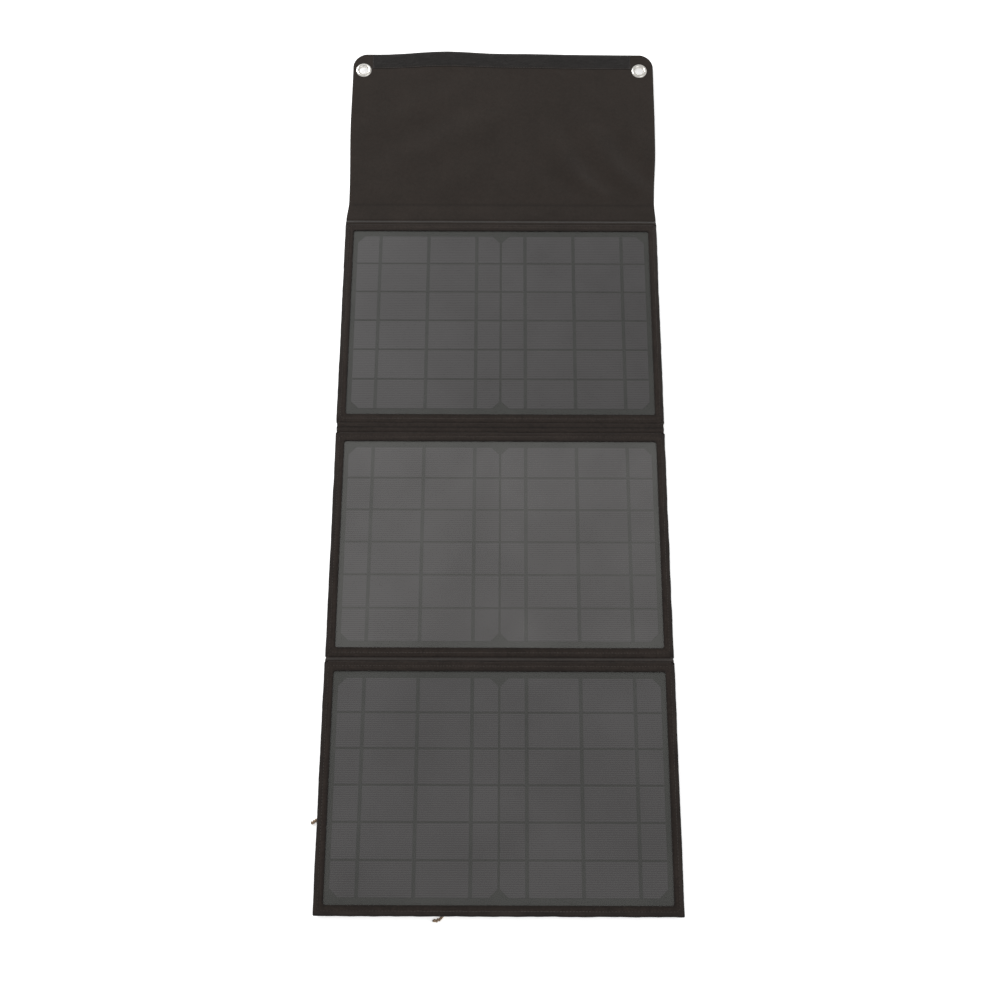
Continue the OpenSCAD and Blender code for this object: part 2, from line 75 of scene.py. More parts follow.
class Panel:
    """One panel's measures: its bound edge's box and its window's box."""

    def __init__(self, name):
        self.name = name
        self.body = name + "_panel"
        low, high = box(name + "_binding")
        self.x0, self.y0, self.z0 = low
        self.x1, self.y1, self.top = high
        self.t = self.top - self.z0
        self.low, self.high = low[:2], high[:2]
        film_low, film_high = box(name + "_film")
        self.window_low, self.window_high = film_low[:2] + FILM_TUCK, film_high[:2] - FILM_TUCK
        self.film = film_high[2]
        self.free_low = name == "bottom"


panels = {name: Panel(name) for name in PANELS}
bottom, middle, top = (panels[name] for name in PANELS)
joints = {j["name"]: j for j in frame["joints"]}


def joint_y(name):
    return joints[name]["pos_m"][1] / MM


SPINE_Y = joint_y("flap_fold_inner")
COVER_Y = joint_y("flap_fold_outer")
MID_SPINE = (SPINE_Y + COVER_Y) / 2


def smooth(x, a, b):
    t = np.clip((np.asarray(x, float) - a) / (b - a), 0, 1)
    return t * t * (3 - 2 * t)


def bell(offset, width):
    """1 where the offset is 0, falling away smoothly over the width on both sides."""
    return np.exp(-(offset / width) ** 2)


def rim_distance(x, y, low, high):
    """How far inside a box each place is."""
    return np.minimum(np.minimum(x - low[0], high[0] - x), np.minimum(y - low[1], high[1] - y))


def ripple(x, y, seed, count=7, short=30.0, long=110.0):
    """Smooth unevenness between about -1 and 1, from a few crossing waves."""
    rng = np.random.default_rng(seed)
    total = np.zeros(np.broadcast(x, y).shape)
    for _ in range(count):
        turn, length, phase = rng.uniform(0, pi), rng.uniform(short, long), rng.uniform(0, 2 * pi)
        total = total + np.sin(2 * pi * (x * cos(turn) + y * sin(turn)) / length + phase)
    return total / sqrt(count) / 1.4


# ---- materials
class Look:
    """A procedural material: a Principled shader with small helpers for the nodes before it."""

    def __init__(self, name, rough=0.8, metal=0.0, level=0.5, alpha=1.0, sheen=0.0):
        self.material = bpy.data.materials.new(name)
        self.material.use_nodes = True
        self.nodes = self.material.node_tree.nodes
        self.links = self.material.node_tree.links
        self.shader = self.nodes["Principled BSDF"]
        for key, value in {
            "Roughness": rough, "Metallic": metal, "Specular IOR Level": level,
            "Alpha": alpha, "Sheen Weight": sheen, "Sheen Roughness": 0.5,
        }.items():
            self.shader.inputs[key].default_value = value
        self.place = self.nodes.new("ShaderNodeTexCoord").outputs["Object"]
        split = self.nodes.new("ShaderNodeSeparateXYZ")
        self.links.new(self.place, split.inputs[0])
        self.x, self.y, self.z = split.outputs

    def put(self, socket, value):
        if isinstance(value, bpy.types.NodeSocket):
            self.links.new(value, socket)
        else:
            socket.default_value = value

    def math(self, operation, a, b=0.0, c=0.0):
        node = self.nodes.new("ShaderNodeMath")
        node.operation = operation
        for socket, value in zip(node.inputs, (a, b, c)):
            self.put(socket, value)
        return node.outputs[0]

    def times(self, a, b):
        return self.math("MULTIPLY", a, b)

    def noise(self, scale, detail=2.0, rough=0.5):
        node = self.nodes.new("ShaderNodeTexNoise")
        self.links.new(self.place, node.inputs["Vector"])
        node.inputs["Scale"].default_value = scale
        node.inputs["Detail"].default_value = detail
        node.inputs["Roughness"].default_value = rough
        return node.outputs["Fac"]

    def spread(self, value, low, high, to_low=0.0, to_high=1.0):
        node = self.nodes.new("ShaderNodeMapRange")
        for socket, item in zip(node.inputs, (value, low, high, to_low, to_high)):
            self.put(socket, item)
        return node.outputs[0]

    def wave(self, axis, pitch):
        """A sine along one axis that repeats every pitch metres."""
        return self.math("SINE", self.times(axis, 2 * pi / pitch))

    def attribute(self, name):
        node = self.nodes.new("ShaderNodeAttribute")
        node.attribute_name = name
        return node.outputs["Fac"]

    def mix(self, factor, a, b):
        node = self.nodes.new("ShaderNodeMix")
        node.data_type = "RGBA"
        self.put(node.inputs["Factor"], factor)
        for socket, value in ((node.inputs["A"], a), (node.inputs["B"], b)):
            self.put(socket, (*value, 1.0) if isinstance(value, tuple) else value)
        return node.outputs["Result"]

    def tint(self, value, low, high, start, end):
        """The start colour below low and the end colour above high, with a blend between."""
        return self.mix(self.spread(value, low, high), start, end)

    def scale(self, color, factor):
        node = self.nodes.new("ShaderNodeVectorMath")
        node.operation = "SCALE"
        self.put(node.inputs[0], color)
        self.put(node.inputs["Scale"], factor)
        return node.outputs[0]

    def finish(self, color, height=None, depth=0.0001, strength=1.0, rough=None, shaded=False):
        if shaded:
            color = self.scale(color, self.attribute("shade"))
        self.put(self.shader.inputs["Base Color"], color)
        if height is not None:
            bump = self.nodes.new("ShaderNodeBump")
            bump.inputs["Distance"].default_value = depth
            bump.inputs["Strength"].default_value = strength
            self.links.new(height, bump.inputs["Height"])
            self.links.new(bump.outputs[0], self.shader.inputs["Normal"])
        if rough is not None:
            self.put(self.shader.inputs["Roughness"], rough)
        return self.material


def cloth_look(name, dark, light, pitch=0.0011, contrast=1.1):
    """Woven polyester: crossing yarns, slubs, soft clouds and the shade kept on the mesh."""
    look = Look(name, rough=0.85, level=0.12, sheen=0.15)
    weave = look.times(look.wave(look.x, pitch), look.wave(look.y, pitch))
    yarns = look.math("ADD", look.wave(look.x, pitch / 2), look.wave(look.y, pitch / 2))
    height = look.math("MULTIPLY_ADD", yarns, 0.25, weave)
    slub = look.noise(620, 3, 0.6)
    cloud = look.noise(24, 3, 0.55)
    fleck = look.noise(260, 2, 0.7)
    tone = look.math("ADD", look.times(slub, contrast), look.times(cloud, 0.35))
    tone = look.math("MULTIPLY_ADD", fleck, 0.35, tone)
    # The weave lightens and darkens the tone a little with the yarns: painted shade in the gaps between them.
    tone = look.math("MULTIPLY_ADD", weave, 0.10, tone)
    middle_tone = (contrast + 0.7) / 2
    color = look.tint(tone, middle_tone - 0.24, middle_tone + 0.26, dark, light)
    dull = look.spread(slub, 0.2, 0.8, 0.78, 0.95)
    return look.finish(color, height, 0.00006, 0.8, rough=dull, shaded=True)


def trim_look(name, dark, light):
    """Grosgrain tape: ribs across, worn a little lighter in patches."""
    look = Look(name, rough=0.85, level=0.12, sheen=0.2)
    ribs = look.math("ADD", look.wave(look.y, 0.0009), look.wave(look.x, 0.0009))
    tone = look.math("MULTIPLY_ADD", look.noise(700, 2), 0.5, look.noise(40, 3))
    # The ribs lighten and darken the tone a little: painted shade between the ribs.
    tone = look.math("MULTIPLY_ADD", ribs, 0.08, tone)
    color = look.tint(tone, 0.5, 1.0, dark, light)
    return look.finish(color, ribs, 0.00008, 0.7, shaded=True)


def pile_look(name, dark, light):
    """Hook or loop tape: a dense nap of fine fibres."""
    look = Look(name, rough=0.95, level=0.08, sheen=0.35)
    nap = look.noise(1500, 4, 0.75)
    patch = look.noise(120, 3, 0.6)
    tone = look.math("MULTIPLY_ADD", nap, 0.7, look.times(patch, 0.5))
    color = look.tint(tone, 0.4, 0.8, dark, light)
    return look.finish(color, nap, 0.0004, 0.9, shaded=True)


def thread_look(name, dark, light):
    look = Look(name, rough=0.6, level=0.3, sheen=0.2)
    twist = look.wave(look.math("ADD", look.x, look.y), 0.0005)
    color = look.tint(look.noise(500), 0.3, 0.7, dark, light)
    return look.finish(color, twist, 0.00003, 0.6)


def braid_look(name, dark, light):
    look = Look(name, rough=0.75, level=0.25, sheen=0.3)
    # The shade on the mesh is painted highlight on the strands' crowns and painted shade in the grooves
    # between them; the fibres' flecks are the cord's own.
    strand = look.attribute("shade")
    fibre = look.noise(2500, 3, 0.7)
    tone = look.math("MULTIPLY_ADD", fibre, 0.5, look.times(strand, 0.7))
    return look.finish(look.tint(tone, 0.2, 1.0, dark, light), fibre, 0.0001, 0.8)


def metal_look(name, color, rough, depth=0.00002):
    """Plated metal with fine scratches and dull spots."""
    look = Look(name, metal=1.0, rough=rough)
    scratch = look.noise(3000, 2, 0.8)
    spot = look.noise(350, 3, 0.6)
    dark = tuple(c * 0.72 for c in color)
    tint = look.tint(spot, 0.35, 0.75, color, dark)
    dull = look.spread(spot, 0.3, 0.8, rough * 0.7, rough * 1.6)
    return look.finish(tint, scratch, depth, 0.5, rough=dull)


def plastic_look(name, dark, light, rough=0.55, grain=2200):
    """Moulded plastic with spark grain."""
    look = Look(name, rough=rough, level=0.4)
    fine = look.noise(grain, 3, 0.7)
    cloud = look.noise(60, 2)
    color = look.tint(cloud, 0.3, 0.7, dark, light)
    dull = look.spread(fine, 0.3, 0.7, rough - 0.08, rough + 0.1)
    return look.finish(color, fine, 0.00005, 0.5, rough=dull)


def cell_look(name, column_pitch, row_pitch, row_start):
    """Dark silicon with fine finger lines across it and a slightly different tint in each cell."""
    look = Look(name, rough=0.42, level=0.5)
    finger_pitch = 0.00206
    fingers = look.spread(look.wave(look.y, finger_pitch), -0.1, 1.0)
    column = look.math("FLOOR", look.math("DIVIDE", look.x, column_pitch))
    row = look.math("FLOOR", look.math("DIVIDE", look.math("SUBTRACT", look.y, row_start), row_pitch))
    where = look.nodes.new("ShaderNodeCombineXYZ")
    look.links.new(column, where.inputs[0])
    look.links.new(row, where.inputs[1])
    lot = look.nodes.new("ShaderNodeTexWhiteNoise")
    look.links.new(where.outputs[0], lot.inputs["Vector"])
    cloud = look.noise(30, 4, 0.6)
    tone = look.math("MULTIPLY_ADD", lot.outputs["Value"], 0.35, cloud)
    color = look.tint(tone, 0.3, 1.0, (0.036, 0.033, 0.034), (0.048, 0.045, 0.047))
    color = look.mix(look.times(fingers, 0.5), color, (0.092, 0.088, 0.088))
    return look.finish(color, rough=look.spread(cloud, 0.3, 0.7, 0.42, 0.54))


def film_look(name, painted_light_share):
    """Satin laminate front: clear, hazy, with the slight unevenness of a pressed sheet."""
    look = Look(name, rough=0.4, level=0.4, alpha=0.22)
    haze = look.noise(9, 3, 0.5)
    color = look.tint(haze, 0.3, 0.7, (0.098, 0.095, 0.091), (0.142, 0.138, 0.134))
    # Scaled per panel: painted light, since each panel's laminate is drawn lighter or darker than the others.
    color = look.scale(color, painted_light_share)
    return look.finish(color, rough=look.spread(haze, 0.3, 0.7, 0.36, 0.46))


def backing_look(name):
    look = Look(name, rough=0.6, level=0.3)
    cloud = look.noise(40, 3)
    color = look.tint(cloud, 0.3, 0.7, (0.032, 0.034, 0.030), (0.040, 0.042, 0.037))
    return look.finish(color, look.noise(1500), 0.00002, 0.4)


def board_look(name):
    """Fibre board: pressed fibres, lighter and darker."""
    look = Look(name, rough=0.9, level=0.2)
    fibre = look.noise(420, 4, 0.75)
    color = look.tint(fibre, 0.3, 0.7, (0.30, 0.23, 0.14), (0.50, 0.41, 0.27))
    return look.finish(color, fibre, 0.0001, 0.6)


def circuit_look(name):
    """Solder mask with faint tracks under it."""
    look = Look(name, rough=0.35, level=0.5)
    slant = look.math("ADD", look.x, look.times(look.y, 0.4))
    tracks = look.spread(look.wave(slant, 0.0021), 0.5, 0.7)
    color = look.mix(tracks, (0.012, 0.075, 0.035), (0.025, 0.13, 0.06))
    return look.finish(color, tracks, 0.00003, 0.5)


def lens_look(name):
    look = Look(name, rough=0.15, level=0.6)
    color = look.tint(look.noise(900), 0.3, 0.7, (0.22, 0.60, 0.24), (0.35, 0.75, 0.33))
    return look.finish(color, look.noise(2000), 0.00001, 0.3)


def floor_look(name):
    look = Look(name, rough=0.9, level=0.1)
    color = look.tint(look.noise(3), 0.3, 0.7, (0.93, 0.93, 0.93), (0.95, 0.95, 0.95))
    look.shader.inputs["Emission Color"].default_value = (1.0, 1.0, 1.0, 1.0)
    look.shader.inputs["Emission Strength"].default_value = 0.5
    return look.finish(color)


looks = {
    "cloth": cloth_look("cloth_look", (0.0118, 0.0086, 0.0070), (0.0275, 0.0205, 0.0170)),
    "flap": cloth_look("flap_cloth_look", (0.0150, 0.0113, 0.0090), (0.0280, 0.0214, 0.0176),
                       pitch=0.0009, contrast=0.5),
    "trim": trim_look("edge_tape_look", (0.0110, 0.0080, 0.0067), (0.0250, 0.0190, 0.0160)),
    "pile": pile_look("pile_tape_look", (0.0052, 0.0043, 0.0039), (0.0150, 0.0128, 0.0118)),
    "thread": thread_look("thread_look", (0.030, 0.024, 0.020), (0.060, 0.050, 0.043)),
    "braid": braid_look("braid_look", (0.018, 0.009, 0.005), (0.430, 0.300, 0.195)),
    # Copies of one laminate: the middle panel's painted lighter and the top panel's darker, as the light
    # falls on each.
    "film": film_look("laminate_look", 1.0),
    "film_middle": film_look("middle_laminate_look", 1.75),
    "film_top": film_look("top_laminate_look", 0.72),
    "backing": backing_look("backing_look"),
    "ribbon": plastic_look("ribbon_look", (0.026, 0.028, 0.025), (0.033, 0.035, 0.031), 0.5),
    "board": board_look("board_look"),
    "moulding": plastic_look("moulding_look", (0.016, 0.016, 0.017), (0.024, 0.024, 0.025)),
    "lead": plastic_look("lead_look", (0.014, 0.014, 0.014), (0.022, 0.022, 0.022), 0.6, 900),
    "zip": plastic_look("zip_coil_look", (0.016, 0.015, 0.015), (0.030, 0.028, 0.027), 0.45, 1600),
    "nickel": metal_look("nickel_look", (0.86, 0.83, 0.78), 0.22),
    "plated": metal_look("plated_look", (0.62, 0.62, 0.60), 0.3),
    "slider": metal_look("slider_look", (0.13, 0.115, 0.10), 0.42, 0.00005),
    "circuit": circuit_look("circuit_look"),
    "lens": lens_look("lens_look"),
    "floor": floor_look("floor_look"),
}


# ---- mesh building
SHARP_ANGLE = radians(62)


def add_object(name, data):
    obj = bpy.data.objects.new(name, data)
    bpy.context.scene.collection.objects.link(obj)
    return obj


def piece(name, points, faces, look, body=None, shade=1.0):
    """A mesh from points in millimetres, with its look, its shade and its body."""
    points = np.asarray(points, float).reshape(-1, 3)
    mesh = bpy.data.meshes.new(name)
    mesh.from_pydata((points * MM).tolist(), [], faces)
    mesh.validate()
    mesh.polygons.foreach_set("use_smooth", [True] * len(mesh.polygons))
    mesh.set_sharp_from_angle(angle=SHARP_ANGLE)
    values = np.broadcast_to(np.asarray(shade, np.float32).reshape(-1), len(points))
    kept = mesh.attributes.new("shade", "FLOAT", "POINT")
    kept.data.foreach_set("value", np.ascontiguousarray(values, np.float32))
    mesh.materials.append(looks[look])
    obj = add_object(name, mesh)
    if body:
        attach(obj, body)
    return obj


def shell(top, low, keep=None):
    """A closed sheet between two grids of points, where keep says which cells of the grid exist.

    It gives the points, the faces and which points of the two grids are used.
    """
    rows, columns = top.shape[:2]
    count = rows * columns
    index = np.arange(count).reshape(rows, columns)
    if keep is None:
        keep = np.ones((rows - 1, columns - 1), bool)
    a, b = index[:-1, :-1], index[:-1, 1:]
    c, d = index[1:, 1:], index[1:, :-1]
    faces = np.stack([a, b, c, d], -1)[keep].tolist()
    faces += (np.stack([d, c, b, a], -1)[keep] + count).tolist()
    padded = np.zeros((rows + 1, columns + 1), bool)
    padded[1:-1, 1:-1] = keep
    sides = (
        (keep & ~padded[:-2, 1:-1], b, a),
        (keep & ~padded[2:, 1:-1], d, c),
        (keep & ~padded[1:-1, :-2], a, d),
        (keep & ~padded[1:-1, 2:], c, b),
    )
    for open_side, p, q in sides:
        faces += np.stack([p, q, q + count, p + count], -1)[open_side].tolist()
    points = np.concatenate([top.reshape(-1, 3), low.reshape(-1, 3)])
    used = np.zeros(2 * count, bool)
    for face in faces:
        used[face] = True
    new = np.cumsum(used) - 1
    return points[used], [[int(new[i]) for i in face] for face in faces], used


def level(x, y, z):
    """A grid of points from their places and heights."""
    return np.stack([x, y, z], -1)


def sheet_piece(name, upper, under, look, body=None, light=1.0, keep=None):
    """A closed sheet between two grids of points; light is its shade at each place of the grid."""
    points, faces, used = shell(upper, under, keep)
    shade = np.tile(np.broadcast_to(light, upper.shape[:2]).reshape(-1), 2)[used]
    return piece(name, points, faces, look, body, shade)


def sweep(rings, closed):
    """Faces that join rings of points side to side: closed joins the last ring to the first."""
    count, sides = rings.shape[:2]
    index = np.arange(count * sides).reshape(count, sides)
    after = np.roll(index, -1, 0)
    if not closed:
        index, after = index[:-1], after[:-1]
    faces = np.stack([index, np.roll(index, -1, 1), np.roll(after, -1, 1), after], -1).reshape(-1, 4).tolist()
    if not closed:
        faces += [list(range(sides))[::-1], list(range((count - 1) * sides, count * sides))]
    return faces


def edges(low, high, step, rim=(0.15, 0.4, 0.8, 1.5), extra=()):
    """Grid lines from low to high, closer together at the rims and at the extra places."""
    inner = np.linspace(low, high, max(2, int(round((high - low) / step))) + 1)
    lines = {low, high, *(low + r for r in rim), *(high - r for r in rim), *extra}
    lines |= {v for v in inner if low + rim[-1] + 0.3 < v < high - rim[-1] - 0.3}
    lines = sorted(lines)
    kept, least = [lines[0]], 0.09
    for v in lines[1:]:
        if v - kept[-1] > least:
            kept.append(v)
    return np.array(kept)


def grid(low, high, step, rim, extra_x=(), extra_y=()):
    """The grid lines over a box both ways, and the places where they cross."""
    xs, ys = edges(low[0], high[0], step, rim, extra_x), edges(low[1], high[1], step, rim, extra_y)
    return xs, ys, *np.meshgrid(xs, ys)


def rounding(distance, radius):
    """How far a surface has come up, from 0 to 1, at a distance from its rounded rim."""
    t = np.clip(distance / radius, 0, 1)
    return np.sqrt(np.clip(1 - (1 - t) ** 2, 0, 1))


def on_line(where, run, line):
    """The points of a line at places along it, where run is each of its own points' place."""
    return np.stack([np.interp(where, run, line[:, k]) for k in range(line.shape[1])], 1)


def box_path(low, high, r, per_side, per_corner):
    """Points round a box with rounded corners, the same number on every box of the same counts."""
    (x0, y0), (x1, y1) = low, high
    corners = ((x1 - r, y0 + r, -90), (x1 - r, y1 - r, 0), (x0 + r, y1 - r, 90), (x0 + r, y0 + r, 180))
    points = []
    for i, (cx, cy, start) in enumerate(corners):
        turns = np.radians(start + np.linspace(0, 90, per_corner))
        arc = np.stack([cx + r * np.cos(turns), cy + r * np.sin(turns)], 1)
        points.append(arc)
        nx, ny, nstart = corners[(i + 1) % 4]
        begin = arc[-1]
        finish = np.array([nx + r * cos(radians(nstart)), ny + r * sin(radians(nstart))])
        part = np.linspace(0, 1, per_side[i % 2] + 2)[1:-1, None]
        points.append(begin + (finish - begin) * part)
    return np.concatenate(points)


def ring_row(places, turns, heights, along, size, dip, sides, tall=1.0):
    """Short round bodies, one at each place; along, size and dip say where each of its rings is."""
    around = np.linspace(0, 2 * pi, sides, endpoint=False)
    points, faces = [], []
    for (x, y), turn, z in zip(places, turns, heights):
        c, s = cos(turn), sin(turn)
        ring_x = along[:, None] * c - np.outer(size, np.cos(around)) * s + x
        ring_y = along[:, None] * s + np.outer(size, np.cos(around)) * c + y
        ring_z = np.outer(size, np.sin(around)) * tall + dip[:, None] + z
        start = len(points) * len(along) * sides
        rings = level(ring_x, ring_y, ring_z)
        points.append(rings)
        faces += [[i + start for i in face] for face in sweep(rings, False)]
    return np.concatenate([p.reshape(-1, 3) for p in points]), faces


def stitch_row(places, turns, heights, length, radius):
    """Short threads whose ends go down into the cloth, one at each place."""
    along = np.array([-0.5, -0.42, -0.2, 0.2, 0.42, 0.5]) * length
    size = np.array([0.25, 0.75, 1.0, 1.0, 0.75, 0.25]) * radius
    dip = np.array([-0.9, -0.35, 0.0, 0.0, -0.35, -0.9]) * radius
    return ring_row(places, turns, heights, along, size, dip, 6)


# ---- camera, light and floor
CAMERA_TILT = 20.16  # degrees from straight down
CAMERA_ROLL = 0.2
CAMERA_HEIGHT = 1347.0
CAMERA_BEHIND = 80.9  # from the bottom panel's end towards the viewer


def make_camera():
    data = bpy.data.cameras.new("camera")
    data.lens = 50
    data.sensor_width = 36
    camera = add_object("camera", data)
    turn = Matrix.Rotation(radians(CAMERA_TILT), 4, "X") @ Matrix.Rotation(radians(CAMERA_ROLL), 4, "Z")
    place = (0.0, (bottom.y0 - CAMERA_BEHIND) * MM, CAMERA_HEIGHT * MM)
    camera.matrix_world = Matrix.Translation(place) @ turn
    bpy.context.scene.camera = camera


def make_light():
    world = bpy.data.worlds.new("studio")
    bpy.context.scene.world = world
    world.use_nodes = True
    background = world.node_tree.nodes["Background"]
    background.inputs["Color"].default_value = (1.0, 1.0, 1.0, 1.0)
    background.inputs["Strength"].default_value = 0.62
    for name, place, size, power in (
        ("key", (-1.3, 1.5, 1.7), 1.0, 42.0),
        ("fill", (1.3, -0.9, 1.9), 1.8, 9.0),
    ):
        data = bpy.data.lights.new(name, "AREA")
        data.size = size
        data.energy = power
        light = add_object(name, data)
        x, y, z = place
        flat = sqrt(x * x + y * y)
        light.location = place
        light.rotation_euler = (atan2(flat, z), 0, atan2(x, -y))
    bpy.context.scene.view_settings.view_transform = "Standard"


def make_floor():
    reach, count, below = 6000, 9, 0.2
    lines = np.linspace(-reach, reach, count)
    x, y = np.meshgrid(lines, lines)
    index = np.arange(count * count).reshape(count, count)
    faces = np.stack([index[:-1, :-1], index[:-1, 1:], index[1:, 1:], index[1:, :-1]], -1)
    points = level(x, y, np.full_like(x, -below)).reshape(-1, 3) * MM
    mesh = bpy.data.meshes.new("floor")
    mesh.from_pydata(points.tolist(), [], faces.reshape(-1, 4).tolist())
    mesh.materials.append(looks["floor"])
    add_object("floor", mesh)


# ---- pull cords
CORD_D = 2.4
CORD_STEPS = {
    "side": ((0, -2), (-0.5, -6), (-1.5, -11), (-3.5, -16), (-7, -20.5), (-11, -23.5), (-15, -25.5),
             (-20, -29)),
    "end": ((0, -2), (-0.5, -6), (-1.5, -11), (-3.5, -16), (-7.5, -19), (-12, -21.5), (-15.5, -24.5),
            (-17.2, -28), (-17.5, -32)),
}


def dense(points, count):
    """A smooth line through points, evenly spaced, and its length."""
    points = np.array(points, float)
    before = np.vstack([2 * points[0] - points[1], points, 2 * points[-1] - points[-2]])
    line = []
    for i in range(1, len(before) - 2):
        p0, p1, p2, p3 = before[i - 1:i + 3]
        for t in np.linspace(0, 1, 12, endpoint=False):
            line.append(0.5 * (2 * p1 + (p2 - p0) * t + (2 * p0 - 5 * p1 + 4 * p2 - p3) * t * t
                               + (3 * p1 - p0 - 3 * p2 + p3) * t ** 3))
    line.append(points[-1])
    line = np.array(line)
    run = np.concatenate([[0], np.cumsum(np.linalg.norm(np.diff(line, axis=0), axis=1))])
    even = np.linspace(0, run[-1], count)
    return on_line(even, run, line), run[-1]


def unit(vectors):
    return vectors / np.linalg.norm(vectors, axis=1)[:, None]


def tube(line, out, up, around, radius):
    """Rings of points round a line."""
    return (line[:, None] + out[:, None] * (np.cos(around) * radius)[..., None]
            + up[:, None] * (np.sin(around) * radius)[..., None])


def make_cord(side):
    """A braided pull cord on the ground, from its zip slider outwards, with a heat-sealed end."""
    low, high = box(side + "_slider")
    if side == "side":
        start = np.array([(low[0] + high[0]) / 2, low[1]])
        steps = [np.array(s, float) for s in CORD_STEPS[side]]
    else:
        start = np.array([low[0], (low[1] + high[1]) / 2])
        steps = [np.array(s[::-1], float) for s in CORD_STEPS[side]]
    line, length = dense([(*(start + s), CORD_D / 2) for s in steps], 150)
    ahead = unit(np.gradient(line, axis=0))
    across = np.cross(ahead, (0, 0, 1))
    up = np.cross(across, ahead)
    sides, strands, lay = 28, 4, 3.2
    around = np.linspace(0, 2 * pi, sides, endpoint=False)
    run = np.linspace(0, length, len(line))
    right = np.cos(strands * around[None, :] + 2 * pi * run[:, None] / lay)
    left = np.cos(strands * around[None, :] - 2 * pi * run[:, None] / lay)
    strand = np.maximum(right, left)
    to_end = length - run
    radius = CORD_D / 2 * (0.97 + 0.05 * strand) * (0.45 + 0.55 * rounding(to_end, 1.0))[:, None]
    rings = tube(line, across, up, around, radius)
    # Painted highlight on the strands' crowns and painted shade in the grooves between them; the cord is also
    # darker over its last 1.6 mm towards the end.
    shade = (0.5 + 0.5 * strand) * smooth(to_end, 0.2, 1.6)[:, None]
    cord = piece(side + "_cord_braid", rings, sweep(rings, False), "braid",
                 side + "_cord_body", shade)
    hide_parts(side + "_pull_cord")
    hitch = make_hitch(side, line, across, up)


def make_hitch(side, line, across, up):
    """The two turns of a stopper knot near the cord's free end."""
    turns, count, reach, middle_step = 2.2, 90, 1.15, 132
    first, last = (124, 145) if side == "side" else (116, 142)
    place = np.linspace(first, last, count)
    spin = np.linspace(0, 2 * pi * turns, count)
    centre = on_line(place, range(len(line)), line)
    side_way, up_way = across[middle_step], up[middle_step]
    lift = np.maximum(np.sin(spin), -0.25)
    path = centre + np.outer(np.cos(spin) * reach, side_way) + np.outer(lift * reach, up_way)
    path[:, 2] = np.maximum(path[:, 2], 0.72)
    ahead = unit(np.gradient(path, axis=0))
    out = unit(np.cross(ahead, (0.3, 0.2, 1.0)))
    around = np.linspace(0, 2 * pi, 12, endpoint=False)
    radius = 0.7 * (0.5 + 0.5 * rounding(np.minimum(np.arange(count), np.arange(count)[::-1]), 6))
    rings = tube(path, out, np.cross(out, ahead), around, radius[:, None])
    # Bands of painted highlight and shade that spiral round the knot's plain tube, in place of its strands.
    shade = 0.5 + 0.5 * np.cos(3 * around[None, :] + 0.5 * np.arange(count)[:, None])
    return piece(side + "_cord_hitch", rings, sweep(rings, False), "braid",
                 side + "_cord_body", shade)


# ---- one panel
TAPE_W = 4.3
RIM_COUNTS = ((70, 100), 7)  # points along a long and a short side, and round each corner


def end_factor(panel, points):
    """1 where the edge tape shows, along the sides and a free end, and 0 along a hinge."""
    y = points[:, 1]
    near, far = 0.6, 3.2
    factor = 1 - smooth(y, panel.y1 - far, panel.y1 - near)
    if not panel.free_low:
        factor = factor * smooth(y, panel.y0 + near, panel.y0 + far)
    return factor


def make_edge_tape(panel, seed):
    """Bound edge: a tape folded over the panel's rim, a little uneven along its run."""
    outer = box_path(panel.low, panel.high, 1.3, *RIM_COUNTS)
    inner = box_path(panel.low + TAPE_W, panel.high - TAPE_W, 0.4, *RIM_COUNTS)
    shown = end_factor(panel, outer)[:, None]
    wave = ripple(outer[:, 0], outer[:, 1], seed, 8, 14, 70)[:, None]
    pucker = np.sin(np.arange(len(outer)) * 2.1)[:, None]
    t = panel.t
    profile = np.array([
        (4.3, t - 0.55), (4.25, t - 0.10), (4.0, t + 0.10), (3.3, t + 0.17), (2.3, t + 0.15),
        (1.3, t + 0.02), (0.55, t - 0.30), (0.12, t - 0.85), (0.0, t - 1.8), (0.0, 1.9),
        (0.15, 0.9), (0.6, 0.28), (1.5, 0.06), (3.0, 0.05), (4.1, 0.16), (4.3, 0.7)])
    hidden_top = t - 0.82
    across = profile[:, 0][None, :] + (0.22 * wave + 0.05 * pucker) * (profile[:, 0] < 3)[None, :]
    across = np.clip(across, -0.35, TAPE_W) / TAPE_W
    height = np.broadcast_to(profile[:, 1][None, :], across.shape).copy()
    raised = height > t / 2
    low_height = np.minimum(height, hidden_top - 0.25 * (profile[:, 0][None, :] < 1))
    height = np.where(raised, height * shown + low_height * (1 - shown), height)
    height = height + 0.03 * wave * raised * shown
    flat = outer[:, None] + (inner - outer)[:, None] * across[..., None]
    rings = np.concatenate([flat, height[..., None] + panel.z0], -1)[:, ::-1]
    # Painted shade on the tape's rolled outer edge and a painted highlight along its top.
    light = np.interp(profile[:, 0], [0, 0.9, 1.6, 2.6, 3.6, 4.3], [0.45, 0.62, 1.15, 1.2, 1.05, 0.9])
    shade = np.broadcast_to(light[None, ::-1], rings.shape[:2])
    tape = piece(panel.name + "_edge_tape", rings, sweep(rings, True), "trim", panel.body, shade)
    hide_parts(panel.name + "_binding")


